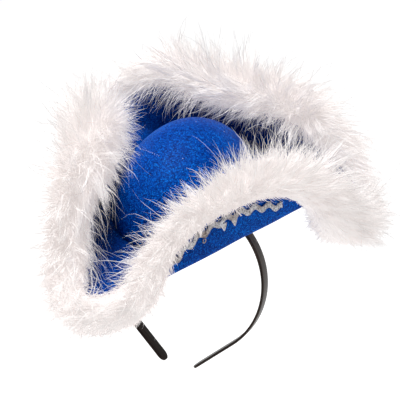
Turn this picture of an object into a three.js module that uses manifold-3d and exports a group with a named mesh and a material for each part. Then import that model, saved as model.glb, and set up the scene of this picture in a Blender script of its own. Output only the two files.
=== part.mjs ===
// Mini tricorn hat on a headband, in millimetres, +Z up, front corner towards -Y.
// The origin is the top of the headband's inner face, where it sits on a head.
import * as THREE from 'three';
import { mergeVertices } from 'three/addons/utils/BufferGeometryUtils.js';
import Module from 'manifold-3d';

// Driving sizes
const GAP = 0.3;
const SHEET = 2;

const BAND_RADIUS = 60;
const BAND_HALF_ARC = THREE.MathUtils.degToRad(137);
const BAND_END = 40;
const BAND_WIDTH = 8.6;
const BAND_THICK = 2.2;
const BAND_LEAN = THREE.MathUtils.degToRad(15);
const BAND_TWIST_ARC = THREE.MathUtils.degToRad(50);
const BAND_STEPS = 36;

const BACK_WIDTH = 217;
const DEPTH = 227;
const CENTRE_Y = -4;
const CORNER_RADIUS = 16;
const FOLD_RADIUS = 3;
const FLAT_SHARE = 0.85;
const LIFT_REACH = 62;
const STATIONS_PER_SIDE = 30;

const CROWN_HALF_WIDTH = 48;
const CROWN_HALF_LENGTH = 68;
const CROWN_HEIGHT = 57.5;
const CROWN_Y = -11;
const CROWN_SEGMENTS = 32;
const CROWN_ARC_STEPS = 5;

const BRAID_BELOW_FUR = 5;
const BRAID_HEIGHT = 7;
const BRAID_SCALLOP = 1.4;
const BRAID_THICK = 1.2;
const BRAID_GAP = 0.6;
const BRAID_REPEATS = 16;

const FUR_OUT = 7.5;
const FUR_UP = 2;
const FUR_SIDES = 10;
const FUR_LUMP = { size: 0.08, pitch: 1.7 };
const LOCK_REACH = 2;
const LOCK_ROOT = 0.9;
const LOCK_SIDES = 4;
const LOCK_SHORTEST = 0.8;
const LOCK_SWAY = 0.45;
const LOCK_SPREAD = 0.618;
const LOCKS_PER_SIDE = 34;
const LOCK_LOWEST = -0.2;
const LOCK_LOWEST_AT_CORNER = -1.2;
const LOCK_INMOST = 2.5;
const CORNER_SHARE = 0.22;

// Heights that follow from those sizes
const BASE_Z = BAND_THICK + GAP + SHEET / 2;
const CROWN_Z = BASE_Z + SHEET / 2 + GAP;

// Brim edge: where along its side, how high above the base, how far outside the fold line, and how thick
// the marabou is there, from its middle to its dense outside
const FLAPS = [
  {
    name: 'front_right',
    braid: [0.2, 0.64],
    edge: [
      { along: 0.0, rise: 5, out: 22, fur: 12 },
      { along: 0.1, rise: 10, out: 5, fur: 10.5 },
      { along: 0.21, rise: 25, out: -4, fur: 9.5 },
      { along: 0.35, rise: 37, out: -5, fur: 10.5 },
      { along: 0.5, rise: 40, out: -4, fur: 13 },
      { along: 0.65, rise: 32, out: 0, fur: 15.5 },
      { along: 0.8, rise: 9, out: 5, fur: 19.5 },
      { along: 0.92, rise: -12, out: 11, fur: 23 },
    ],
  },
  {
    name: 'back',
    braid: [0.28, 0.84],
    edge: [
      { along: 0.0, rise: -22, out: 14, fur: 23 },
      { along: 0.1, rise: 9, out: 14, fur: 19.5 },
      { along: 0.2, rise: 29, out: 11, fur: 18.5 },
      { along: 0.35, rise: 41, out: 8, fur: 18.5 },
      { along: 0.5, rise: 43, out: 8, fur: 19 },
      { along: 0.65, rise: 46, out: 9, fur: 17 },
      { along: 0.8, rise: 45, out: 11, fur: 13 },
      { along: 0.92, rise: 28, out: 15, fur: 15 },
    ],
  },
  {
    name: 'front_left',
    braid: [0.26, 0.72],
    edge: [
      { along: 0.0, rise: 14, out: 20, fur: 19 },
      { along: 0.1, rise: 24, out: 8, fur: 19.5 },
      { along: 0.2, rise: 35, out: -2, fur: 20 },
      { along: 0.35, rise: 46, out: -7, fur: 20 },
      { along: 0.5, rise: 49, out: -6, fur: 20 },
      { along: 0.65, rise: 42, out: 1.5, fur: 18 },
      { along: 0.8, rise: 24, out: 11, fur: 13 },
      { along: 0.92, rise: 10, out: 12, fur: 12 },
    ],
  },
];

// Corners of the base, and how far each soft tip lifts or droops
const CORNERS = [
  { x: 0, y: CENTRE_Y - (DEPTH * 2) / 3, lift: 1 },
  { x: BACK_WIDTH / 2, y: CENTRE_Y + DEPTH / 3, lift: -15 },
  { x: -BACK_WIDTH / 2, y: CENTRE_Y + DEPTH / 3, lift: 9 },
];

const MATERIALS = {
  felt: new THREE.MeshStandardMaterial({ color: 0x0a3fae, roughness: 0.75 }),
  down: new THREE.MeshStandardMaterial({ color: 0xf5f0ee, roughness: 0.95 }),
  silver: new THREE.MeshStandardMaterial({ color: 0xb9b4b2, roughness: 0.35, metalness: 0.9 }),
  plastic: new THREE.MeshStandardMaterial({ color: 0x2b231f, roughness: 0.45 }),
};

const wasm = await Module();
wasm.setup();

const UP = new THREE.Vector3(0, 0, 1);
const smooth = (x) => THREE.MathUtils.smoothstep(x, 0, 1);

// Repeatable random numbers from 0 to 1
let seed = 20261;
function random() {
  seed = (seed * 16807) % 2147483647;
  return seed / 2147483647;
}

// A closed body through rings of points; the rings join up, or end in flat caps
function loft(rings, joined) {
  const count = rings[0].length;
  const position = rings.flat().flatMap((p) => [p.x, p.y, p.z]);
  const index = [];
  const spans = joined ? rings.length : rings.length - 1;
  for (let i = 0; i < spans; i += 1) {
    const a = i * count;
    const b = ((i + 1) % rings.length) * count;
    for (let j = 0; j < count; j += 1) {
      const k = (j + 1) % count;
      index.push(a + j, b + j, b + k, a + j, b + k, a + k);
    }
  }
  if (!joined) {
    const last = (rings.length - 1) * count;
    for (let j = 1; j < count - 1; j += 1) {
      index.push(0, j, j + 1, last, last + j + 1, last + j);
    }
  }
  const geometry = new THREE.BufferGeometry();
  geometry.setAttribute('position', new THREE.Float32BufferAttribute(position, 3));
  geometry.setIndex(index);
  return geometry;
}

function solid(geometry) {
  const bare = geometry.clone();
  bare.deleteAttribute('normal');
  bare.deleteAttribute('uv');
  const merged = mergeVertices(bare);
  return new wasm.Manifold(new wasm.Mesh({
    numProp: 3,
    vertProperties: new Float32Array(merged.attributes.position.array),
    triVerts: new Uint32Array(merged.index.array),
  }));
}

function geometryOf(manifold) {
  const mesh = manifold.getMesh();
  const geometry = new THREE.BufferGeometry();
  geometry.setAttribute('position', new THREE.BufferAttribute(mesh.vertProperties, 3));
  geometry.setIndex(new THREE.BufferAttribute(mesh.triVerts, 1));
  return geometry;
}

// Base outline: each side runs from the middle of one rounded corner to the middle of the next
function baseSides() {
  const corner = CORNERS.map((c) => new THREE.Vector2(c.x, c.y));
  const along = corner.map((c, i) => corner[(i + 1) % 3].clone().sub(c).normalize());
  const normal = along.map((d) => Math.atan2(-d.x, d.y));
  const turn = (a, b) => THREE.MathUtils.euclideanModulo(b - a, 2 * Math.PI);
  const centre = corner.map((c, i) => {
    const before = along[(i + 2) % 3].clone().negate();
    const half = Math.acos(before.dot(along[i])) / 2;
    const inward = before.add(along[i]).normalize();
    return c.clone().addScaledVector(inward, CORNER_RADIUS / Math.sin(half));
  });
  const apex = normal.map((n, i) => n - turn(normal[(i + 2) % 3], n) / 2);
  return corner.map((c, i) => {
    const next = (i + 1) % 3;
    const path = new THREE.Path();
    path.absarc(centre[i].x, centre[i].y, CORNER_RADIUS, apex[i], normal[i], false);
    const end = normal[i] + turn(normal[i], normal[next]) / 2;
    path.absarc(centre[next].x, centre[next].y, CORNER_RADIUS, normal[i], end, false);
    return path;
  });
}

const SIDES = baseSides();

function baseHeight(x, y) {
  const rise = CORNERS.map((c) => c.lift * smooth(1 - Math.hypot(x - c.x, y - c.y) / LIFT_REACH));
  return BASE_Z + rise.reduce((sum, r) => sum + r, 0);
}

// The edge table read as a smooth curve that carries on from flap to flap
const EDGE_ROWS = FLAPS.flatMap((flap, side) => flap.edge.map((r) => ({ ...r, at: side + r.along })));

function edgeValue(at, column) {
  const count = EDGE_ROWS.length;
  const row = (i) => {
    const lap = Math.floor(i / count);
    const r = EDGE_ROWS[THREE.MathUtils.euclideanModulo(i, count)];
    return { at: r.at + lap * FLAPS.length, value: r[column] };
  };
  const i = EDGE_ROWS.findLastIndex((r) => r.at <= at);
  const [p, a, b, n] = [row(i - 1), row(i), row(i + 1), row(i + 2)];
  const span = b.at - a.at;
  const t = (at - a.at) / span;
  const slopeA = ((b.value - p.value) / (b.at - p.at)) * span;
  const slopeB = ((n.value - a.value) / (n.at - a.at)) * span;
  const c2 = 3 * (b.value - a.value) - 2 * slopeA - slopeB;
  const c3 = 2 * (a.value - b.value) + slopeA + slopeB;
  return a.value + t * (slopeA + t * (c2 + t * c3));
}

// One station of the brim: fold point, edge point, outward and upward directions
function station(side, along) {
  const point = SIDES[side].getPointAt(along);
  const tangent = SIDES[side].getTangentAt(along);
  const out = new THREE.Vector3(tangent.y, -tangent.x, 0);
  const fold = new THREE.Vector3(point.x, point.y, baseHeight(point.x, point.y));
  const edge = new THREE.Vector3(point.x, point.y, BASE_Z + edgeValue(side + along, 'rise'));
  edge.addScaledVector(out, edgeValue(side + along, 'out'));
  const rising = edge.clone().sub(fold).normalize();
  const face = new THREE.Vector3(tangent.x, tangent.y, 0).cross(rising).normalize();
  return { out, fold, edge, rising, face };
}

const STATIONS = FLAPS.flatMap((flap, side) =>
  Array.from({ length: STATIONS_PER_SIDE }, (_, i) => station(side, i / STATIONS_PER_SIDE)));

// Middle of the sheet from the base's centre, round the fold, up to the flap's edge
function brimProfile(s, extra) {
  const reach = Math.hypot(s.fold.x, s.fold.y - CENTRE_Y);
  const flat = Math.min((CROWN_HALF_LENGTH + FOLD_RADIUS) / reach, FLAT_SHARE);
  const plate = [flat, (1 + flat) / 2].map((k) => {
    const p = new THREE.Vector3(0, CENTRE_Y, 0).lerp(s.fold, k);
    return p.setZ(baseHeight(p.x, p.y));
  });
  const before = s.fold.clone().addScaledVector(s.out, -FOLD_RADIUS);
  const after = s.fold.clone().addScaledVector(s.rising, FOLD_RADIUS);
  const bend = before.clone().add(after).multiplyScalar(0.25).addScaledVector(s.fold, 0.5);
  const half = s.fold.clone().lerp(s.edge, 0.5);
  const edge = s.edge.clone().addScaledVector(s.rising, extra);
  return [...plate, before, bend, after, half, edge];
}

// The brim as a sheet of even thickness; extra lengthens its flaps
function brimSheet(thickness, extra) {
  const middle = STATIONS.map((s) => brimProfile(s, extra));
  const rows = middle[0].length;
  const centre = new THREE.Vector3(0, CENTRE_Y, BASE_Z);
  const normalAt = (i, j) => {
    const around = middle[(i + 1) % middle.length][j].clone()
      .sub(middle[(i + middle.length - 1) % middle.length][j]);
    const low = j > 0 ? middle[i][j - 1] : centre;
    const high = middle[i][Math.min(j + 1, rows - 1)];
    return around.negate().cross(high.clone().sub(low)).normalize();
  };
  const skin = (offset) => middle.map((line, i) =>
    line.map((p, j) => p.clone().addScaledVector(normalAt(i, j), offset)));
  const upper = skin(thickness / 2);
  const lower = skin(-thickness / 2);
  const position = [];
  const put = (p) => position.push(p.x, p.y, p.z) / 3 - 1;
  const top = put(centre.clone().addScaledVector(UP, thickness / 2));
  const bottom = put(centre.clone().addScaledVector(UP, -thickness / 2));
  const up = upper.map((line) => line.map(put));
  const down = lower.map((line) => line.map(put));
  const index = [];
  const quad = (a, b, c, d) => index.push(a, b, c, a, c, d);
  middle.forEach((_, i) => {
    const k = (i + 1) % middle.length;
    index.push(top, up[i][0], up[k][0], bottom, down[k][0], down[i][0]);
    for (let j = 0; j < rows - 1; j += 1) {
      quad(up[i][j], up[i][j + 1], up[k][j + 1], up[k][j]);
      quad(down[k][j], down[k][j + 1], down[i][j + 1], down[i][j]);
    }
    quad(up[i][rows - 1], down[i][rows - 1], down[k][rows - 1], up[k][rows - 1]);
  });
  const geometry = new THREE.BufferGeometry();
  geometry.setAttribute('position', new THREE.Float32BufferAttribute(position, 3));
  geometry.setIndex(index);
  return geometry;
}

// Domed crown: a wall open below, turned as a round dome and stretched into an oval
function crownGeometry() {
  const arc = (inset, from, to) => new THREE.Path()
    .absellipse(0, 0, CROWN_HALF_WIDTH - inset, CROWN_HEIGHT - inset, from, to, from > to)
    .getPoints(CROWN_ARC_STEPS);
  const profile = [...arc(SHEET, Math.PI / 2, 0), ...arc(0, 0, Math.PI / 2)];
  [profile[0], profile[profile.length - 1]].forEach((p) => p.setX(0));
  return new THREE.LatheGeometry(profile, CROWN_SEGMENTS)
    .rotateX(Math.PI / 2)
    .scale(1, CROWN_HALF_LENGTH / CROWN_HALF_WIDTH, 1);
}

// Braid: a strip that follows the flap's edge, its lower border in points
function braidGeometry(side) {
  const [from, to] = FLAPS[side].braid;
  const steps = BRAID_REPEATS * 2;
  const rings = Array.from({ length: steps + 1 }, (_, i) => {
    const along = THREE.MathUtils.lerp(from, to, i / steps);
    const s = station(side, along);
    const reach = s.edge.distanceTo(s.fold);
    const drop = edgeValue(side + along, 'fur') - FUR_UP + BRAID_BELOW_FUR;
    const top = Math.max(reach - drop, FOLD_RADIUS + BRAID_HEIGHT);
    const point = i % 2 ? BRAID_SCALLOP : -BRAID_SCALLOP;
    const bottom = top - BRAID_HEIGHT - point;
    const inner = SHEET / 2 + BRAID_GAP;
    const corner = (height, depth) => s.fold.clone()
      .addScaledVector(s.rising, height).addScaledVector(s.face, depth);
    return [
      corner(top, inner),
      corner(bottom, inner),
      corner(bottom, inner + BRAID_THICK),
      corner(top, inner + BRAID_THICK),
    ];
  });
  return loft(rings, false);
}

// Marabou: a soft ring over the edge with locks that stand out of it, slit for the brim
function marabouGeometry() {
  const centre = STATIONS.map((s) =>
    s.edge.clone().addScaledVector(s.face, FUR_OUT).addScaledVector(s.rising, FUR_UP));
  const path = new THREE.CatmullRomCurve3(centre, true);
  const frameAt = (u) => {
    const tangent = path.getTangent(u);
    const out = tangent.clone().cross(UP).normalize();
    return { point: path.getPoint(u), tangent, out, up: out.clone().cross(tangent) };
  };
  const furAt = (u) => edgeValue(u * FLAPS.length, 'fur');
  // How near a place on the ring is to a corner, from 0 to 1
  const cornerAt = (u) => {
    const side = u * CORNERS.length;
    return smooth(1 - Math.abs(side - Math.round(side)) / CORNER_SHARE);
  };
  const lump = (i) => 1 + FUR_LUMP.size * Math.sin(i * FUR_LUMP.pitch);
  const rings = centre.map((_, i) => {
    const f = frameAt(i / centre.length);
    const core = furAt(i / centre.length) * lump(i);
    return Array.from({ length: FUR_SIDES }, (_unused, j) => {
      const turn = (2 * Math.PI * j) / FUR_SIDES;
      return f.point.clone()
        .addScaledVector(f.out, core * Math.cos(turn))
        .addScaledVector(f.up, core * Math.sin(turn));
    });
  });
  let body = solid(loft(rings, true));
  const locks = LOCKS_PER_SIDE * FLAPS.length;
  for (let i = 0; i < locks; i += 1) {
    const u = (i + 0.5 * random()) / locks;
    const f = frameAt(u);
    const lowest = THREE.MathUtils.lerp(LOCK_LOWEST, LOCK_LOWEST_AT_CORNER, cornerAt(u));
    const turn = THREE.MathUtils.lerp(lowest, LOCK_INMOST, (i * LOCK_SPREAD) % 1);
    const way = f.out.clone().multiplyScalar(Math.cos(turn))
      .addScaledVector(f.up, Math.sin(turn))
      .addScaledVector(f.tangent, LOCK_SWAY * (2 * random() - 1))
      .normalize();
    const reach = furAt(u) * LOCK_REACH * THREE.MathUtils.lerp(LOCK_SHORTEST, 1, random());
    const lock = new THREE.ConeGeometry(furAt(u) * LOCK_ROOT, reach, LOCK_SIDES)
      .translate(0, reach / 2, 0)
      .applyQuaternion(new THREE.Quaternion().setFromUnitVectors(new THREE.Vector3(0, 1, 0), way))
      .translate(f.point.x, f.point.y, f.point.z);
    body = body.add(solid(lock));
  }
  return geometryOf(body.subtract(solid(brimSheet(SHEET + 2 * GAP, GAP))));
}

// Headband: an arc with straight ends in a leaning plane, flat under the base, round at its tips
function bandGeometry() {
  const arc = BAND_RADIUS * BAND_HALF_ARC;
  const length = arc + BAND_END;
  const round = BAND_WIDTH / 2;
  const places = [];
  for (let i = 0; i <= BAND_STEPS; i += 1) places.push(arc * (2 * (i / BAND_STEPS) - 1));
  [0.5, 1].forEach((k) => places.push(arc + k * (BAND_END - round)));
  [0.35, 0.65, 0.85, 0.97].forEach((k) => places.push(length - round + k * round));
  const ends = places.slice(BAND_STEPS + 1).map((s) => -s).reverse();
  const rings = [...ends, ...places].map((s) => {
    const angle = THREE.MathUtils.clamp(s, -arc, arc) / BAND_RADIUS;
    const straight = Math.sign(s) * Math.max(Math.abs(s) - arc, 0);
    const x = BAND_RADIUS * Math.sin(angle) + straight * Math.cos(angle);
    const down = BAND_RADIUS * (1 - Math.cos(angle)) + straight * Math.sin(angle);
    const lean = new THREE.Vector3(0, -Math.sin(BAND_LEAN), -Math.cos(BAND_LEAN));
    const along = new THREE.Vector3(Math.cos(angle), 0, 0).addScaledVector(lean, Math.sin(angle));
    const twist = BAND_LEAN * smooth(Math.abs(angle) / BAND_TWIST_ARC);
    const across = new THREE.Vector3(0, Math.cos(twist), -Math.sin(twist));
    const outward = along.clone().cross(across).normalize();
    const tip = Math.max(Math.abs(s) - (length - round), 0) / round;
    const half = round * Math.sqrt(1 - tip * tip);
    const centre = new THREE.Vector3(x, 0, BAND_THICK / 2).addScaledVector(lean, down);
    const corner = (a, n) => centre.clone()
      .addScaledVector(across, a * half).addScaledVector(outward, n * BAND_THICK / 2);
    const section = [[-1, -1], [-1, 0.5], [-0.7, 1], [0.7, 1], [1, 0.5], [1, -1]];
    return section.map(([a, n]) => corner(a, n));
  });
  return loft(rings, false);
}

const hat = new THREE.Group();

function addPiece(name, geometry, material, z = 0) {
  const mesh = new THREE.Mesh(geometry, material);
  mesh.name = name;
  mesh.position.z = z;
  hat.add(mesh);
  return mesh;
}

const crown = addPiece('crown', crownGeometry(), MATERIALS.felt, CROWN_Z);
crown.position.y = CROWN_Y;
addPiece('brim', brimSheet(SHEET, 0), MATERIALS.felt);
addPiece('marabou_trim', marabouGeometry(), MATERIALS.down);
FLAPS.forEach((flap, side) => addPiece(`braid_${flap.name}`, braidGeometry(side), MATERIALS.silver));
addPiece('headband', bandGeometry(), MATERIALS.plastic);

export default hat;
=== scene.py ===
# %% [markdown]
# # A mini tricorn on a headband
# The hat is a blue glitter-felt dome on a three-cornered felt brim whose sides are turned up. White marabou
# runs over the whole edge, a silver braid lies on each flap, and a springy plastic band carries it all.
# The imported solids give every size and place, so the lesson starts by loading them and never moves them.

# %% Load the frame
import math

import bmesh
import bpy
import numpy as np
from mathutils import Matrix, Vector, noise


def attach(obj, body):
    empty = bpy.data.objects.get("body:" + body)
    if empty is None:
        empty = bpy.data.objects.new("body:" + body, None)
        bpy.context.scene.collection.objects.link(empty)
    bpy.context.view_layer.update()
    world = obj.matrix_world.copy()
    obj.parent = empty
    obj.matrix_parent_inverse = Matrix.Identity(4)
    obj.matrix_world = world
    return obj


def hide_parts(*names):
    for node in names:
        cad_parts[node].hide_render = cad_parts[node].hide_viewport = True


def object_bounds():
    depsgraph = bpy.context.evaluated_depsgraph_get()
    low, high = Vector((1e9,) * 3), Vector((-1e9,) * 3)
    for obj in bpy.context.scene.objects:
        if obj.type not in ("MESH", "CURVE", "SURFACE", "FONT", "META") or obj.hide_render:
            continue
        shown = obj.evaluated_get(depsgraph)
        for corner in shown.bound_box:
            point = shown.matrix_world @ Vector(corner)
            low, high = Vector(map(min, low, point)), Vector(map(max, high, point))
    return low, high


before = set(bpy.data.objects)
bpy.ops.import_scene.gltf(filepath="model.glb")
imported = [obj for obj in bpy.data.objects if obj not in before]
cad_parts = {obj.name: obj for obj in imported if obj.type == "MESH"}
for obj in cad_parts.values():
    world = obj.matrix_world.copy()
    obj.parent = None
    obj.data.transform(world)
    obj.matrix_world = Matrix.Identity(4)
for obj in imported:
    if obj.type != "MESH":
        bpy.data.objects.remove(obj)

MM = 0.001
cad_box = [list(corner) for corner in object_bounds()]
print("solids' box in metres:", cad_box)

# %% [markdown]
# ## Small helpers
# Every piece ends the same way: its mesh becomes an object at the origin, shaded smooth, that rides on the
# hat's one body and stands for a solid. Every finish also starts the same way, with a Principled shader,
# and a short helper that adds a node and fills its sockets keeps the node trees readable.

# %% Turn a shape into a piece
def make_piece(shape, name, slot, material, *nodes):
    mesh = shape
    if isinstance(shape, bmesh.types.BMesh):
        mesh = bpy.data.meshes.new(name)
        shape.to_mesh(mesh)
        shape.free()
    mesh.shade_smooth()
    mesh.materials.append(material)
    piece = bpy.data.objects.new(name, mesh)
    bpy.context.scene.collection.objects.link(piece)
    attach(piece, "root")
    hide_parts(*nodes)
    print(name, "has", len(mesh.polygons), "faces")
    return piece


def add_modifier(piece, kind, **settings):
    modifier = piece.modifiers.new(kind.title(), kind)
    for setting, value in settings.items():
        setattr(modifier, setting, value)


# %% Start a material and add nodes to it
def new_material(name):
    material = bpy.data.materials.new(name)
    material.use_nodes = True
    return material, material.node_tree, material.node_tree.nodes["Principled BSDF"]


def add_node(tree, kind, sockets=None, **settings):
    node = tree.nodes.new(kind)
    for setting, value in settings.items():
        setattr(node, setting, value)
    for socket, value in (sockets or {}).items():
        if isinstance(value, bpy.types.NodeSocket):
            tree.links.new(value, node.inputs[socket])
        else:
            node.inputs[socket].default_value = value
    return node


def add_ramp(tree, factor, *stops):
    node = add_node(tree, "ShaderNodeValToRGB", {"Fac": factor})
    elements = node.color_ramp.elements
    while len(elements) < len(stops):
        elements.new(0.5)
    for element, (position, colour) in zip(elements, stops):
        element.position = position
        element.color = (*colour, 1)
    return node.outputs["Color"]


# %% [markdown]
# ## The glitter felt
# The felt is royal blue and covered with fine glitter, so close up it is a mottle of bright and deep
# flakes less than a millimetre across. A photograph of felt would be quick but would not tile or scale. A
# Voronoi texture gives random values to each flake instead. They set the flake's blue, its gloss, its
# height and a rare painted glint of pale white, and a broad noise adds the slow drift from azure to navy
# that worn cloth has. An attribute that the brim's points carry paints shade on the felt inside the flaps
# and on the base, where it faces up.

# %% Blue glitter felt
FLAKES_PER_METRE = 1500
DRIFTS_PER_METRE = 26
PAINTED_GLINT_SHARE = 0.9998

felt, tree, shader = new_material("blue_glitter_felt")
place = add_node(tree, "ShaderNodeTexCoord").outputs["Object"]
flakes = add_node(tree, "ShaderNodeTexVoronoi", {"Vector": place, "Scale": FLAKES_PER_METRE})
flake = add_node(tree, "ShaderNodeSeparateColor", {"Color": flakes.outputs["Color"]})
drift = add_node(
    tree,
    "ShaderNodeTexNoise",
    {"Vector": place, "Scale": DRIFTS_PER_METRE, "Detail": 4.0, "Roughness": 0.6},
)
flake_blue = add_ramp(
    tree,
    flake.outputs["Red"],
    (0.0, (0.0, 0.019, 0.14)),
    (0.5, (0.0, 0.068, 0.4)),
    (0.85, (0.0, 0.124, 0.64)),
    (1.0, (0.004, 0.25, 0.9)),
)
drift_blue = add_ramp(
    tree, drift.outputs["Fac"], (0.3, (0.6, 0.5, 0.66)), (0.7, (1.0, 1.0, 1.0))
)
felt_blue = add_node(
    tree,
    "ShaderNodeMixRGB",
    {"Fac": 1.0, "Color1": flake_blue, "Color2": drift_blue},
    blend_type="MULTIPLY",
)
# Painted shade: the attribute darkens the felt on inner faces and on faces turned up.
inside = add_node(tree, "ShaderNodeAttribute", attribute_name="inside").outputs["Fac"]
painted_shade = add_ramp(tree, inside, (0.0, (1.0, 1.0, 1.0)), (1.0, (0.34, 0.24, 0.32)))
felt_with_painted_shade = add_node(
    tree,
    "ShaderNodeMixRGB",
    {"Fac": 1.0, "Color1": felt_blue.outputs[0], "Color2": painted_shade},
    blend_type="MULTIPLY",
)
# Painted glint: a rare flake's colour is made pale white.
painted_glint = add_node(
    tree, "ShaderNodeMath", {0: flake.outputs["Green"], 1: PAINTED_GLINT_SHARE}, operation="GREATER_THAN"
)
felt_colour = add_node(
    tree,
    "ShaderNodeMixRGB",
    {"Fac": painted_glint.outputs[0], "Color1": felt_with_painted_shade.outputs[0], "Color2": (0.75, 0.82, 0.95, 1)},
)
flake_gloss = add_ramp(tree, flake.outputs["Blue"], (0.0, (0.7,) * 3), (1.0, (0.35,) * 3))
flake_relief = add_node(
    tree,
    "ShaderNodeBump",
    {"Height": flake.outputs["Red"], "Strength": 0.35, "Distance": 0.2 * MM},
)
tree.links.new(felt_colour.outputs[0], shader.inputs["Base Color"])
tree.links.new(flake_gloss, shader.inputs["Roughness"])
tree.links.new(flake_relief.outputs[0], shader.inputs["Normal"])
shader.inputs["Specular IOR Level"].default_value = 0.04
print("felt flakes are about", round(1000 / FLAKES_PER_METRE, 2), "mm across")

# %% [markdown]
# ## The brim
# The brim is one sheet of felt, cut with three corners and folded up along its three sides. It could be
# drawn again as a grid, but the solid already has the right folds, so a copy of it is refined: its loose
# triangles are welded and paired into quads, a low noise lets the cloth wander by a fraction of a
# millimetre, and a Subdivision Surface rounds the folds and the cut edge.

# %% A welded copy of a solid
WELD = 0.02 * MM
FLAT_PAIR = math.radians(30)


def welded_copy(node):
    shape = bmesh.new()
    shape.from_mesh(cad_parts[node].data)
    bmesh.ops.remove_doubles(shape, verts=shape.verts, dist=WELD)
    bmesh.ops.join_triangles(
        shape,
        faces=shape.faces,
        angle_face_threshold=FLAT_PAIR,
        angle_shape_threshold=math.pi,
    )
    shape.normal_update()
    print(node, "copied as", len(shape.faces), "faces")
    return shape


def let_wander(shape, height, per_metre):
    for vert in shape.verts:
        vert.co += vert.normal * height * noise.noise(vert.co * per_metre)


# %% Refine the brim
SHEET = 2 * MM
APART = 0.4
SHEET_SLACK = 0.1 * SHEET
# How much painted shade falls on faces turned up.
UPWARD_PAINTED_SHADE = 0.6

brim_shape = welded_copy("brim")
rim_pairs = []
for edge in brim_shape.edges:
    first, second = edge.verts
    across = second.co - first.co
    width = across.length
    across.normalize()
    ends_face_apart = first.normal.dot(across) < -APART and second.normal.dot(across) > APART
    if ends_face_apart and abs(width - SHEET) < SHEET_SLACK:
        rim_pairs.append((first.co.copy(), second.co.copy()))
print("the cut edge has", len(rim_pairs), "places")

# %% Paint shade on its inner and upward faces and make it wander
# Painted shade: full on faces turned towards the hat's middle, and a share of it on faces turned up.
inside_layer = brim_shape.verts.layers.float.new("inside")
for vert in brim_shape.verts:
    inward = -vert.co.to_2d().normalized().dot(vert.normal.to_2d())
    vert[inside_layer] = min(max(UPWARD_PAINTED_SHADE * vert.normal.z, inward, 0), 1)
let_wander(brim_shape, height=0.6 * MM, per_metre=38)
brim = make_piece(brim_shape, "felt_brim", "felt", felt, "brim")
add_modifier(brim, "SUBSURF", levels=2, render_levels=2)

# %% [markdown]
# ## The crown
# The crown is a dome of the same felt, pulled over a block and glued to the brim. A copy of the solid keeps
# the block's profile. Hand pulling leaves broad shallow dents, so it wanders more slowly than the brim.

# %% Refine the crown
crown_shape = welded_copy("crown")
let_wander(crown_shape, height=0.7 * MM, per_metre=30)
crown = make_piece(crown_shape, "felt_crown", "felt", felt, "crown")
add_modifier(crown, "SUBSURF", levels=2, render_levels=2)

# %% [markdown]
# ## The rim line
# The marabou and the braid both follow the brim's cut edge. The edge was found above as the short edges
# across the sheet, whose two ends face away from each other. Sorted round the hat, their midpoints give the
# line, and the way from the inner to the outer end gives the direction in which each flap faces.

# %% Sort the rim round the hat
UP = np.array([0.0, 0.0, 1.0])
FRONT = -math.pi / 2


def unit(vectors):
    return vectors / np.linalg.norm(vectors, axis=-1, keepdims=True)


rim_ends = np.array(rim_pairs)
rim_middle = rim_ends.mean(axis=1)
hat_middle = rim_middle.mean(axis=0)
rim_face = unit(rim_ends[:, 1] - rim_ends[:, 0])
outward = unit((rim_middle - hat_middle) * [1, 1, 0])
rim_face *= np.sign(np.sum(rim_face * (outward - UP), axis=1))[:, None]
turn = np.arctan2(outward[:, 1], outward[:, 0])
order = np.argsort(np.mod(turn - FRONT + math.pi / len(turn), 2 * math.pi))
rim_middle = rim_middle[order]
rim_face = rim_face[order]
print("front corner of the rim at", rim_middle[0].round(4))

# %% [markdown]
# ## The braid
# A flat metallic gimp lies on the outer face of each flap, just under the marabou. It runs in soft waves
# and is plaited from a few shiny threads. One scalloped ribbon with a bump map would look printed from
# nearby, so the threads are real tubes: each goes from edge to edge of the ribbon and passes over and under
# the others. Its place comes from the upper edge of the plain strip that stands for it in the solids.

# %% Silver thread
braid_silver, tree, shader = new_material("silver_thread")
place = add_node(tree, "ShaderNodeTexCoord").outputs["Object"]
tarnish = add_node(tree, "ShaderNodeTexNoise", {"Vector": place, "Scale": 45.0, "Detail": 3.0})
glints = add_node(tree, "ShaderNodeTexNoise", {"Vector": place, "Scale": 900.0, "Detail": 2.0})
silver = add_ramp(
    tree, tarnish.outputs["Fac"], (0.35, (0.52, 0.44, 0.4)), (0.6, (0.86, 0.86, 0.9))
)
gloss = add_ramp(tree, glints.outputs["Fac"], (0.3, (0.22,) * 3), (0.7, (0.5,) * 3))
twist = add_node(
    tree, "ShaderNodeBump", {"Height": glints.outputs["Fac"], "Strength": 0.4, "Distance": 0.1 * MM}
)
# Painted glints: a fine noise makes specks of the silver's colour lighter and darker, standing in for light
# caught on the threads.
thread_painted_glints = add_ramp(tree, glints.outputs["Fac"], (0.38, (0.55,) * 3), (0.62, (1.0,) * 3))
silver_with_painted_glints = add_node(
    tree, "ShaderNodeMixRGB", {"Fac": 1.0, "Color1": silver, "Color2": thread_painted_glints}, blend_type="MULTIPLY"
)
tree.links.new(silver_with_painted_glints.outputs[0], shader.inputs["Base Color"])
tree.links.new(gloss, shader.inputs["Roughness"])
tree.links.new(twist.outputs[0], shader.inputs["Normal"])
shader.inputs["Metallic"].default_value = 0.75
print("silver thread has", len(tree.nodes), "nodes")


# %% Joined tubes from arrays of paths
OFF_UPRIGHT = 0.31


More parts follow.
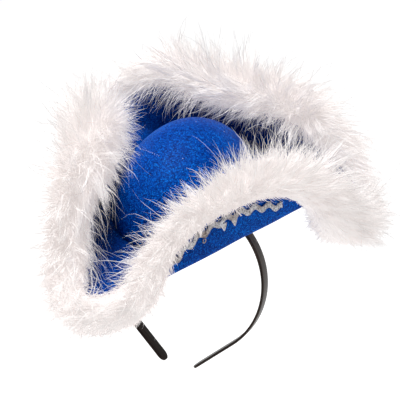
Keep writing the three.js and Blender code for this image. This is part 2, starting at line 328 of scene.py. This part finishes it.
def tubes(name, paths, radius, sides):
    count, steps, _ = paths.shape
    along = unit(np.gradient(paths, axis=1))
    across = unit(np.cross(along, UP + OFF_UPRIGHT))
    over = np.cross(across, along)
    angle = np.linspace(0, 2 * math.pi, sides, endpoint=False)
    ring = np.cos(angle)[:, None] * across[:, :, None] + np.sin(angle)[:, None] * over[:, :, None]
    points = paths[:, :, None] + radius * ring
    number = np.arange(count * steps * sides).reshape(count, steps, sides)
    turned = np.roll(number, -1, axis=2)
    faces = np.stack([number[:, :-1], turned[:, :-1], turned[:, 1:], number[:, 1:]], axis=-1)
    mesh = bpy.data.meshes.new(name)
    mesh.from_pydata(points.reshape(-1, 3), [], faces.reshape(-1, 4))
    return mesh


# %% Plait a braid on each flap
THREADS = 8
THREAD_RADIUS = 0.36 * MM
RIBBON_HALF = 2.2 * MM
BELOW_TOP = 3.4 * MM
WAVE_HEIGHT = 1.7 * MM
WAVE_LENGTH = 12.5 * MM
PLAIT_LENGTH = 4.4 * MM
OVER_HEIGHT = 0.4 * MM
OVER_ROUNDING = 0.5
POINT_STEP = 0.3 * MM
THREAD_SIDES = 5


def top_line(node):
    """Distances along the strip's upper edge, its points, and the ways up the strip and out of it."""
    shape = welded_copy(node)
    ends = sorted(shape.verts, key=lambda vert: vert.co.x)
    chord = (ends[-1].co - ends[0].co).normalized()
    cap = min(shape.faces, key=lambda face: face.calc_center_median().dot(chord))
    ring, walked, rings = set(cap.verts), set(), []
    while ring:
        rings.append(sorted([tuple(vert.co) for vert in ring], key=lambda point: point[2]))
        walked |= ring
        ring = {edge.other_vert(vert) for vert in ring for edge in vert.link_edges} - walked
    shape.free()
    places = np.array(rings)
    top = places[:, 2:].mean(axis=1)
    rising = unit(top - places[:, :2].mean(axis=1))
    facing = unit(np.cross(np.gradient(top, axis=0), rising))
    facing *= np.sign(np.sum(facing * (top - hat_middle), axis=1))[:, None]
    distance = np.concatenate([[0], np.cumsum(np.linalg.norm(np.diff(top, axis=0), axis=1))])
    return distance, top, rising, facing


def resample(table, distance, places):
    return np.stack([np.interp(places, distance, column) for column in table.T], axis=1)


def lay(strip, along, side, over):
    """Points on a flap from distances along its braid, up from the middle and out of the felt."""
    distance, *tables = strip
    line, up, out = (resample(table, distance, along.ravel()) for table in tables)
    points = line + unit(up) * (side.ravel() - BELOW_TOP)[:, None] + unit(out) * over.ravel()[:, None]
    return points.reshape(*along.shape, 3)


def plait(strip):
    length = strip[0][-1]
    along = np.tile(np.arange(0, length, POINT_STEP), (THREADS, 1))
    wave = WAVE_HEIGHT * np.sin(2 * math.pi * along / WAVE_LENGTH)
    phase = 2 * math.pi * (along / PLAIT_LENGTH + np.arange(THREADS)[:, None] / THREADS)
    side = wave + RIBBON_HALF * np.arcsin(np.sin(phase)) * 2 / math.pi
    over = OVER_HEIGHT * np.sign(np.cos(phase)) * np.abs(np.cos(2 * phase)) ** OVER_ROUNDING
    return lay(strip, along, side, over)


for flap in ("front_right", "back", "front_left"):
    node = "braid_" + flap
    plaited = tubes("plait_" + flap, plait(top_line(node)), THREAD_RADIUS, THREAD_SIDES)
    make_piece(plaited, "plait_" + flap, "braid", braid_silver, node)

# %% Two pointed picots and a loose loop on the near flap
PICOTS = (0.48, 0.57)
PICOT_HALF = 2.4 * MM
PICOT_DROP = 5.2 * MM
PICOT_ROUNDING = 0.8
NESTED = 5
INNERMOST = 0.2
LOOP_PLACE = 0.31
LOOP_RADIUS = 1.3 * MM
LOOP_STEPS = 25

near_strip = top_line("braid_front_right")
near_length = near_strip[0][-1]
swing = np.linspace(-1, 1, LOOP_STEPS)
nested = np.linspace(1, INNERMOST, NESTED)[:, None]
picot_along = np.concatenate([near_length * place + PICOT_HALF * nested * swing for place in PICOTS])
picot_depth = PICOT_DROP * nested * (1 - np.abs(swing)) ** PICOT_ROUNDING
picot_side = np.tile(-RIBBON_HALF - picot_depth, (len(PICOTS), 1))
loop_along = near_length * LOOP_PLACE + LOOP_RADIUS * np.sin(math.pi * swing)
loop_side = -RIBBON_HALF - WAVE_HEIGHT - LOOP_RADIUS * (1 - np.cos(math.pi * swing))
picot_along = np.vstack([picot_along, loop_along])
picot_side = np.vstack([picot_side, loop_side])
picots = lay(near_strip, picot_along, picot_side, np.full(picot_along.shape, OVER_HEIGHT))
picot_tubes = tubes("picots_front_right", picots, THREAD_RADIUS, THREAD_SIDES)
make_piece(picot_tubes, "picots_front_right", "braid", braid_silver, "braid_front_right")

# %% [markdown]
# ## The headband
# The band is a springy strip of brown-black plastic, a little over a half circle with straight ends and
# rounded tips. It could stay the solid with a bevel, but that one is made of flat facets and is a little
# narrower than the real band. Here a soft oblong section is drawn out ring by ring into a straight strip
# with round tips, and every point of the strip is then bent round the head. A twist near the top lays the
# band flat against the brim.

# %% Satin plastic with lengthwise streaks
band_plastic, tree, shader = new_material("satin_brown_plastic")
across = add_node(tree, "ShaderNodeAttribute", attribute_name="across").outputs["Fac"]
along = add_node(tree, "ShaderNodeAttribute", attribute_name="along").outputs["Fac"]
strip = add_node(tree, "ShaderNodeCombineXYZ", {"X": across, "Y": along})
streaks = add_node(tree, "ShaderNodeTexNoise", {"Vector": strip.outputs[0], "Scale": 5.0, "Detail": 3.0})
streak_brown = add_ramp(
    tree,
    streaks.outputs["Fac"],
    (0.3, (0.012, 0.007, 0.005)),
    (0.55, (0.034, 0.021, 0.014)),
    (0.75, (0.11, 0.068, 0.045)),
)
streak_gloss = add_ramp(tree, streaks.outputs["Fac"], (0.3, (0.28,) * 3), (0.7, (0.42,) * 3))
tree.links.new(streak_brown, shader.inputs["Base Color"])
tree.links.new(streak_gloss, shader.inputs["Roughness"])
shader.inputs["Specular IOR Level"].default_value = 0.16
print("band plastic has", len(tree.nodes), "nodes")

# %% Draw the strip out straight
BAND_RADIUS = 60 * MM
BAND_HALF_ARC = math.radians(137)
BAND_END = 40 * MM
BAND_WIDTH = 11 * MM
BAND_THICK = 2.2 * MM
SECTION_POINTS = 20
SQUARENESS = 0.45
STRIP_STEPS = 200
ROUND_TIP = BAND_WIDTH / 2
TIP_CLOSED = 0.12
TIP_ANGLES = np.linspace(0.15, 1.45, 8)

half_strip = BAND_RADIUS * BAND_HALF_ARC + BAND_END
straight_steps = np.linspace(-half_strip + ROUND_TIP, half_strip - ROUND_TIP, STRIP_STEPS)
tip_steps = half_strip - ROUND_TIP + ROUND_TIP * np.sin(TIP_ANGLES)
strip_places = np.concatenate([-tip_steps[::-1], straight_steps, tip_steps])


def strip_width(place):
    into_tip = max(0, abs(place) - (half_strip - ROUND_TIP)) / ROUND_TIP
    return max(TIP_CLOSED, math.sqrt(max(0, 1 - into_tip**2)))


def squarer(value):
    return math.copysign(abs(value) ** SQUARENESS, value)


first_place = strip_places[0]
band_shape = bmesh.new()
ring_verts = bmesh.ops.create_circle(band_shape, segments=SECTION_POINTS, radius=1)["verts"]
for vert in ring_verts:
    round_y, round_z = vert.co.x, vert.co.y
    vert.co.x = first_place
    vert.co.y = squarer(round_y) * BAND_WIDTH / 2 * strip_width(first_place)
    vert.co.z = squarer(round_z) * BAND_THICK / 2
first_ring = list(band_shape.edges)
bmesh.ops.contextual_create(band_shape, geom=first_ring)
ring = first_ring
for before, place in zip(strip_places[:-1], strip_places[1:]):
    drawn = bmesh.ops.extrude_edge_only(band_shape, edges=ring)["geom"]
    ring = [item for item in drawn if isinstance(item, bmesh.types.BMEdge)]
    narrower = strip_width(place) / strip_width(before)
    for vert in drawn:
        if isinstance(vert, bmesh.types.BMVert):
            vert.co.x = place
            vert.co.y *= narrower
bmesh.ops.contextual_create(band_shape, geom=ring)
bmesh.ops.recalc_face_normals(band_shape, faces=band_shape.faces)
print("the straight strip is", round(half_strip * 2 / MM), "mm long")

# %% Bend it round the head
BAND_LEAN = math.radians(15)
TWIST_ARC = math.radians(50)
ACROSS_X = Vector((1, 0, 0))
LEANING_UP = Vector((0, math.sin(BAND_LEAN), math.cos(BAND_LEAN)))
BAND_TOP = Vector((0, 0, BAND_THICK / 2))


def smooth(share):
    share = min(max(share, 0), 1)
    return share * share * (3 - 2 * share)


def bend(vert):
    along, across, thick = vert.co
    arc = max(-BAND_HALF_ARC, min(BAND_HALF_ARC, along / BAND_RADIUS))
    onward = ACROSS_X * math.cos(arc) - LEANING_UP * math.sin(arc)
    middle = BAND_TOP + BAND_RADIUS * (ACROSS_X * math.sin(arc) + LEANING_UP * (math.cos(arc) - 1))
    middle += onward * (along - arc * BAND_RADIUS)
    twist = BAND_LEAN * smooth(abs(arc) / TWIST_ARC)
    sideways = Vector((0, math.cos(twist), -math.sin(twist)))
    vert.co = middle + sideways * across + onward.cross(sideways).normalized() * thick


along_layer = band_shape.verts.layers.float.new("along")
across_layer = band_shape.verts.layers.float.new("across")
for vert in band_shape.verts:
    vert[along_layer] = vert.co.x / half_strip
    vert[across_layer] = vert.co.y / BAND_WIDTH * 2
    bend(vert)
make_piece(band_shape, "plastic_band", "band", band_plastic, "headband")

# %% [markdown]
# ## The marabou
# Marabou is a cord of down whose fine barbs stand out all round it. On the hat it is a plump white roll
# over the cut edge, brushed flat where it meets the felt and loose along its top, with pointed tufts and
# single wisps. A hair system would be the usual way, but it doesn't survive an export as a mesh. So a soft
# core blocks the view through the roll, and tens of thousands of narrow tapering ribbons stand on it,
# worked out together as arrays: short down everywhere, tufts that draw together at their tips, and long
# wisps. Real down scatters light from barb to barb, and a faint painted glow, an emission of the down's own
# colour, stands in for it; painted shade turns the thin tips grey.

# %% White down
white_down, tree, shader = new_material("white_down")
# Painted shade: the attribute greys the down from warm white towards its thin tips.
tip_shade = add_node(tree, "ShaderNodeAttribute", attribute_name="tip_shade").outputs["Fac"]
down_white_with_painted_shade = add_ramp(
    tree, tip_shade, (0.0, (0.93, 0.89, 0.88)), (0.5, (0.95, 0.92, 0.91)), (1.0, (0.38, 0.37, 0.37))
)
tree.links.new(down_white_with_painted_shade, shader.inputs["Base Color"])
# Painted glow: the down emits a little of its own colour, standing in for light scattered from barb to
# barb.
tree.links.new(down_white_with_painted_shade, shader.inputs["Emission Color"])
shader.inputs["Emission Strength"].default_value = 0.14
shader.inputs["Roughness"].default_value = 0.8
shader.inputs["Specular IOR Level"].default_value = 0.1
print("down has", len(tree.nodes), "nodes")

# %% The roll's middle line and its directions
ROLL_PLACES = np.array([
    # place round the rim in sides of the hat, then how far the roll lies out of the felt and above
    # its cut edge, in millimetres
    (0.0, 3, 2), (0.05, -1, 2), (0.12, 0.5, 2), (0.25, 6, 2), (0.4, 10, 2), (0.75, 10, 2),
    (0.85, 14, 2), (0.95, 12, 2), (1.05, 10, 2), (1.2, 9, 1), (1.4, 7.5, -1), (1.6, 7, -1),
    (1.75, 6.5, 3), (1.9, 6.5, 8), (2.0, 6, 6), (2.12, 2, 2), (2.22, 4, 2), (2.35, 7.5, 2), (2.9, 6, 2),
])
RING_STEPS = 720
THICKNESS = np.array([
    # place round the rim in sides of the hat, and the roll's dense radius there in millimetres
    (0.0, 15.5), (0.1, 13.5), (0.21, 10), (0.35, 10.5), (0.5, 13), (0.65, 15.5), (0.8, 20.5), (0.92, 21.5),
    (1.0, 18.5), (1.1, 22), (1.2, 19), (1.35, 16.5), (1.5, 17.5), (1.65, 17), (1.8, 15), (1.92, 15.5),
    (2.0, 18), (2.1, 14), (2.2, 13), (2.35, 17.5), (2.5, 20), (2.65, 18), (2.8, 15), (2.92, 15),
])


def thickness(at):
    return np.interp(at, *THICKNESS.T, period=3) * MM


def closed_curve(points, count):
    place = np.linspace(0, len(points), count, endpoint=False)
    start = place.astype(int)
    share = (place - start)[:, None]
    before, here, after, beyond = (points[(start + k) % len(points)] for k in (-1, 0, 1, 2))
    bow = (2 * before - 5 * here + 4 * after - beyond) * share**2
    sway = (3 * here - before - 3 * after + beyond) * share**3
    return here + ((after - before) * share + bow + sway) / 2


def round_slope(points):
    return unit(np.roll(points, -1, axis=0) - np.roll(points, 1, axis=0))


rim_rising = np.cross(rim_face, round_slope(rim_middle))
rim_at = np.arange(len(rim_middle)) * 3 / len(rim_middle)
roll_places, roll_outs, roll_ups = ROLL_PLACES.T
out_of_felt = np.interp(rim_at, roll_places, roll_outs * MM, period=3)[:, None]
above_edge = np.interp(rim_at, roll_places, roll_ups * MM, period=3)[:, None]
roll_line = closed_curve(rim_middle + rim_face * out_of_felt + rim_rising * above_edge, RING_STEPS)
roll_along = round_slope(roll_line)
roll_out = unit(np.cross(roll_along, UP))
roll_up = np.cross(roll_out, roll_along)
print("the roll is", round(np.linalg.norm(np.diff(roll_line, axis=0), axis=1).sum() / MM), "mm long")


# %% Where a barb stands on the roll
CORNER_REACH = 0.3
CORE_SHARE = 0.7


def near_corners(at):
    """How near places are to the front, right and left corner. One side of the hat is 1 long."""
    gap = np.abs((at[:, None] - np.arange(3) + 1.5) % 3 - 1.5)
    near = np.clip(1 - gap / CORNER_REACH, 0, 1)
    return near * near * (3 - 2 * near)


def stand(at, angle):
    """Points on the core, and the ways along the roll, away from it and round it."""
    place = np.mod(at, 3) / 3 * RING_STEPS
    start = place.astype(int) % RING_STEPS
    share = (place - np.floor(place))[:, None]
    line, along, out, up = (
        table[start] * (1 - share) + table[(start + 1) % RING_STEPS] * share
        for table in (roll_line, roll_along, roll_out, roll_up)
    )
    cos, sin = np.cos(angle)[:, None], np.sin(angle)[:, None]
    away = out * cos + up * sin
    thick = thickness(at)
    point = line + away * CORE_SHARE * thick[:, None]
    return point, along, away, up * cos - out * sin, thick


# %% A soft core
CORE_SIDES = 14
CORE_STEPS = 150
CORE_LUMP = 1.6 * MM
LUMPS_PER_METRE = 90

core_shape = bmesh.new()
core_verts = bmesh.ops.create_circle(core_shape, segments=CORE_SIDES, radius=1)["verts"]
first_ring = list(core_shape.edges)
angles = {vert: math.atan2(vert.co.y, vert.co.x) for vert in core_verts}


def put_ring(angles, at):
    points = stand(np.full(len(angles), at), np.array(list(angles.values())))[0]
    for vert, point in zip(angles, points):
        vert.co = point


put_ring(angles, 0)
ring = first_ring
for at in np.linspace(0, 3, CORE_STEPS, endpoint=False)[1:]:
    drawn = bmesh.ops.extrude_edge_only(core_shape, edges=ring)["geom"]
    ring = [item for item in drawn if isinstance(item, bmesh.types.BMEdge)]
    here = {tuple(vert.co): angle for vert, angle in angles.items()}
    angles = {vert: here[tuple(vert.co)] for vert in drawn if isinstance(vert, bmesh.types.BMVert)}
    put_ring(angles, at)
bmesh.ops.bridge_loops(core_shape, edges=first_ring + ring)
bmesh.ops.recalc_face_normals(core_shape, faces=core_shape.faces)
let_wander(core_shape, height=CORE_LUMP, per_metre=LUMPS_PER_METRE)
make_piece(core_shape, "down_core", "marabou", white_down, "marabou_trim")

# %% Which way the down is brushed
TOP = math.radians(100)
STAND_LOWEST = 0.03
SHORTEST = 0.28
SWEEP = 0.75
FLOW = 0.5
SPLAY = np.array([0.7, 0.15, 0.7])
DROOP = 0.12
HANG_ALONG = 0.9
HANG_DOWN = 0.45
HANG_FADE = ((1, 0), (1.2, 1), (2.8, 1), (3, 0))
DROOP_AT_CORNER = np.array([0.35, 0.8, 0.1])
TOP_BREADTH = 1.2
SWEEP_BREADTH = 1.2
TURN_AT_MIDDLE = 6


def brushed(at, angle):
    """Up both sides to the top, along to the nearer corner, out at corners, and hanging inside."""
    point, along, away, round_roll, thick = stand(at, angle)
    from_top = (angle - TOP + math.pi) % (2 * math.pi) - math.pi
    on_top = np.abs(np.cos(from_top / 2)) ** TOP_BREADTH
    rise = STAND_LOWEST + (1 - STAND_LOWEST) * on_top
    sweep = -SWEEP * np.tanh(from_top / SWEEP_BREADTH)
    flow = FLOW * np.tanh(TURN_AT_MIDDLE * (at % 1 - 0.5))
    corners = near_corners(at)
    radial = unit((point - hat_middle) * [1, 1, 0])
    heading = away * rise[:, None] + round_roll * sweep[:, None] + along * flow[:, None]
    heading += radial * (corners @ SPLAY)[:, None]
    heading -= UP * (DROOP + corners @ DROOP_AT_CORNER)[:, None]
    hanging = np.clip(-np.cos(angle), 0, 1) * np.interp(at % 3, *zip(*HANG_FADE))
    heading += (along * HANG_ALONG - UP * HANG_DOWN) * hanging[:, None]
    return point, away, unit(heading), thick * (SHORTEST + (1 - SHORTEST) * on_top)


# %% Ribbons that taper from root to tip
TAPER_POWER = 0.8
TIP_WIDTH = 0.12
LOOSENESS = 0.35
CURL_TURN = 5
PROUD = 13 * MM
LOWEST = np.array(cad_box[0]) - PROUD
HIGHEST = np.array(cad_box[1]) + PROUD


def ribbons(rng, root, bend_point, tip, away, steps, width, curl):
    """Curved ribbons in pairs of edge points, cut short where they would leave the allowed box."""
    count = len(root)
    step = tip - root
    room = np.where(step > 0, HIGHEST - root, LOWEST - root)
    tip = root + step * np.clip(room / np.where(step == 0, 1, step), 0, 1).min(axis=1)[:, None]
    share = np.linspace(0, 1, steps)[None, :, None]
    path = (1 - share) ** 2 * root[:, None] + 2 * share * (1 - share) * bend_point[:, None]
    path = path + share**2 * tip[:, None]
    reach = np.linalg.norm(tip - root, axis=1)[:, None, None]
    sideways = unit(np.cross(tip - root, rng.normal(size=(count, 3))))[:, None]
    phase = rng.uniform(0, 2 * math.pi, (count, 1, 1))
    path = path + sideways * reach * curl * share * np.sin(phase + share * CURL_TURN)
    flow = unit(np.gradient(path, axis=1))
    edge = unit(np.cross(flow, away[:, None] + rng.normal(0, LOOSENESS, (count, 1, 3))))
    half = width / 2 * (TIP_WIDTH + (1 - TIP_WIDTH) * (1 - share) ** TAPER_POWER)
    return np.stack([path - edge * half, path + edge * half], axis=2)


# %% Locks of barbs on one side of the hat
SIDE_LENGTH = 250 * MM
GOLDEN = 0.618034
ROOT_DEPTH = 1.5 * MM
ANGLE_JITTER = 0.2
LOCK_SHORT = 0.6
LOCK_EXTRA = 0.75
FEW_LONG = 2.5


def locks(rng, side, count, size, length, steps, width, draw, spread, stray, curl):
    """Barbs in locks: each lock has one place and heading, and its barbs draw together at the tip."""
    number = np.arange(count)
    lock_at = side + (number + rng.random(count)) / count
    lock_angle = 2 * math.pi * (number * GOLDEN % 1) + rng.normal(0, ANGLE_JITTER, count)
    lock_root, _, lock_heading, full = brushed(lock_at, lock_angle)
    calm = full / thickness(lock_at)
    lock_heading = unit(lock_heading + rng.normal(0, stray, (count, 3)) * calm[:, None])
    lock_length = length * full * (LOCK_SHORT + LOCK_EXTRA * rng.random(count) ** FEW_LONG)
    member = np.repeat(number, size)
    barbs = len(member)
    at = lock_at[member] + rng.normal(0, spread / SIDE_LENGTH, barbs)
    angle = lock_angle[member] + rng.normal(0, spread / (CORE_SHARE * thickness(at)), barbs)
    root, away, heading, _ = brushed(at, angle)
    reach = (lock_length[member] * rng.uniform(0.5, 1, barbs))[:, None]
    astray = rng.normal(0, stray / 2, (barbs, 3)) * calm[member][:, None]
    heading = unit(heading + lock_heading[member] + astray)
    own_tip = root + heading * reach
    lock_tip = lock_root[member] + lock_heading[member] * reach
    tip = own_tip * (1 - draw) + lock_tip * draw
    bend_point = root + (away * 0.4 + heading * 0.6) * reach * 0.5
    return ribbons(rng, root - away * ROOT_DEPTH, bend_point, tip, away, steps, width, curl)


# %% Single hairs that lie over the felt
OVER_FELT = (
    # first and last place, how many, angle on the roll, length, and heading: inward, along, up
    dict(at=(0.1, 0.35), count=70, angle=2.2, length=20, heading=(0.6, -0.2, 0.5)),
    dict(at=(0.3, 0.95), count=150, angle=2.0, length=25, heading=(0.55, 0.3, 0.7)),
    dict(at=(0.15, 0.8), count=16, angle=2.0, length=42, heading=(0.6, -0.25, 0.75)),
    dict(at=(1.05, 1.7), count=240, angle=3.3, length=20, heading=(0.6, 0.15, -0.5)),
    dict(at=(1.6, 1.88), count=190, angle=3.3, length=26, heading=(0.7, 0.3, -0.5)),
    dict(at=(2.06, 2.18), count=150, angle=2.6, length=27, heading=(0.9, 0.1, 0.05)),
    dict(at=(2.2, 2.5), count=140, angle=2.9, length=20, heading=(0.85, 0.25, -0.3)),
    dict(at=(2.5, 2.97), count=150, angle=3.0, length=30, heading=(0.5, 0.75, -0.25)),
)
HAIR_WIDTH = 0.3 * MM
HAIR_SAG = 0.2
HAIR_STEPS = 7
HAIR_CURL = 0.1
HAIR_ANGLE_JITTER = 0.25
HAIR_STRAY = 0.22
HAIR_BOW = 0.35


def hairs(rng, at, count, angle, length, heading):
    place = rng.uniform(*at, count)
    root, along, away, *_ = stand(place, rng.normal(angle, HAIR_ANGLE_JITTER, count))
    inward = -unit(np.cross(along, UP))
    way = inward * heading[0] + along * heading[1] + UP * heading[2]
    way = unit(way + rng.normal(0, HAIR_STRAY, (count, 3)))
    reach = (length * MM * rng.uniform(0.45, 1.1, count))[:, None]
    tip = root + way * reach - UP * HAIR_SAG * reach
    bend_point = root + (away + way) * reach * HAIR_BOW
    foot = root - away * ROOT_DEPTH
    return ribbons(rng, foot, bend_point, tip, away, HAIR_STEPS, HAIR_WIDTH, HAIR_CURL)


# %% Join the ribbons of a side into one piece
DOWN = dict(
    count=1500, size=12, length=0.85, steps=3, width=0.42 * MM,
    draw=0.3, spread=3 * MM, stray=0.2, curl=0.03,
)
TUFTS = dict(
    count=240, size=33, length=1.85, steps=5, width=0.42 * MM,
    draw=0.8, spread=2.6 * MM, stray=0.32, curl=0.04,
)
WISPS = dict(
    count=1400, size=2, length=2.5, steps=7, width=0.6 * MM,
    draw=0.4, spread=1.5 * MM, stray=0.4, curl=0.1,
)
# Each layer with the greyest that painted shade makes its tips.
LAYERS_AND_GREY = ((DOWN, 0.55), (TUFTS, 0.75), (WISPS, 1.0))
HAIR_GREY = 1.0
LEAST_GREY = 0.3
GREY_AT_ROOT = 0.15
FIRST_SEED = 7


def ribbon_mesh(name, rng, sets):
    points, faces, tip_shades, start = [], [], [], 0
    for ribbon, greyest in sets:
        count, steps = ribbon.shape[:2]
        number = start + np.arange(count * steps * 2).reshape(count, steps, 2)
        quads = [number[:, :-1, 0], number[:, :-1, 1], number[:, 1:, 1], number[:, 1:, 0]]
        points.append(ribbon.reshape(-1, 3))
        faces.append(np.stack(quads, axis=-1).reshape(-1, 4))
        # Painted shade: each ribbon greys from root to tip, by a random share of its layer's greyest.
        grey = greyest * rng.uniform(LEAST_GREY, 1, count)[:, None]
        grey = grey * np.linspace(GREY_AT_ROOT, 1, steps)
        tip_shades.append(np.repeat(grey, 2, axis=1).ravel())
        start += count * steps * 2
    mesh = bpy.data.meshes.new(name)
    mesh.from_pydata(np.concatenate(points), [], np.concatenate(faces))
    tip_shade = mesh.attributes.new("tip_shade", "FLOAT", "POINT")
    tip_shade.data.foreach_set("value", np.concatenate(tip_shades).astype(np.float32))
    return mesh


for side, flap in enumerate(("front_right", "back", "front_left")):
    rng = np.random.default_rng(FIRST_SEED + side)
    barb_sets = [(locks(rng, side, **layer), grey) for layer, grey in LAYERS_AND_GREY]
    barb_sets += [(hairs(rng, **row), HAIR_GREY) for row in OVER_FELT if int(row["at"][0]) == side]
    barbs = ribbon_mesh("down_" + flap, rng, barb_sets)
    make_piece(barbs, "down_" + flap, "marabou", white_down, "marabou_trim")

# %% [markdown]
# ## Camera, floor and light
# The photo looks down on the hat from its front right with a long lens. A white floor far below keeps the
# hat's shadow out of the frame, as in a catalogue picture, and it glows a little to stay white. The light
# is a dim even sky with one soft lamp high above, so that the down stays white and the felt keeps some
# shape.

# %% Camera
AZIMUTH = math.radians(24.1)
ELEVATION = math.radians(31.28)
CAMERA_ROLL = math.radians(-1.86)
DISTANCE = 0.837
LENS_MM = 100.9
SHIFT = (0.0350, -0.0266)

towards = Vector((
    math.sin(AZIMUTH) * math.cos(ELEVATION),
    -math.cos(AZIMUTH) * math.cos(ELEVATION),
    math.sin(ELEVATION),
))
level = Vector((math.cos(AZIMUTH), math.sin(AZIMUTH), 0))
upright = towards.cross(level)
right = level * math.cos(CAMERA_ROLL) + upright * math.sin(CAMERA_ROLL)
above = upright * math.cos(CAMERA_ROLL) - level * math.sin(CAMERA_ROLL)
camera_data = bpy.data.cameras.new("camera")
camera_data.lens = LENS_MM
camera_data.shift_x, camera_data.shift_y = SHIFT
camera = bpy.data.objects.new("camera", camera_data)
turned = Matrix((right, above, towards)).transposed().to_4x4()
camera.matrix_world = Matrix.Translation(BAND_TOP + towards * DISTANCE) @ turned
bpy.context.scene.collection.objects.link(camera)
bpy.context.scene.camera = camera
print("camera at", camera.location.to_tuple(3))

# %% Floor and light
FLOOR_DROP = 0.4
FLOOR_HALF = 6.0
FLOOR_GLOW = 0.6
SKY_STRENGTH = 0.32
KEY_PLACE = (-0.2, 0.1, 1.15)
KEY_SIZE = 0.6
KEY_WATTS = 14

paper, tree, shader = new_material("white_paper")
shader.inputs["Base Color"].default_value = (0.95, 0.95, 0.95, 1)
shader.inputs["Emission Strength"].default_value = FLOOR_GLOW
shader.inputs["Emission Color"].default_value = (1, 1, 1, 1)
shader.inputs["Roughness"].default_value = 0.9
floor_shape = bmesh.new()
bmesh.ops.create_grid(floor_shape, x_segments=1, y_segments=1, size=FLOOR_HALF)
bmesh.ops.translate(floor_shape, verts=floor_shape.verts, vec=(0, 0, cad_box[0][2] - FLOOR_DROP))
floor_mesh = bpy.data.meshes.new("floor")
floor_shape.to_mesh(floor_mesh)
floor_shape.free()
floor_mesh.materials.append(paper)
floor = bpy.data.objects.new("floor", floor_mesh)
bpy.context.scene.collection.objects.link(floor)

world = bpy.data.worlds.new("even_sky")
bpy.context.scene.world = world
world.use_nodes = True
sky = world.node_tree.nodes["Background"]
sky.inputs["Color"].default_value = (1, 1, 1, 1)
sky.inputs["Strength"].default_value = SKY_STRENGTH

key_data = bpy.data.lights.new("key", "AREA")
key_data.size = KEY_SIZE
key_data.energy = KEY_WATTS
key = bpy.data.objects.new("key", key_data)
key.location = KEY_PLACE
key.rotation_euler = (-Vector(KEY_PLACE)).to_track_quat("-Z", "Y").to_euler()
bpy.context.scene.collection.objects.link(key)
bpy.context.scene.view_settings.view_transform = "Standard"
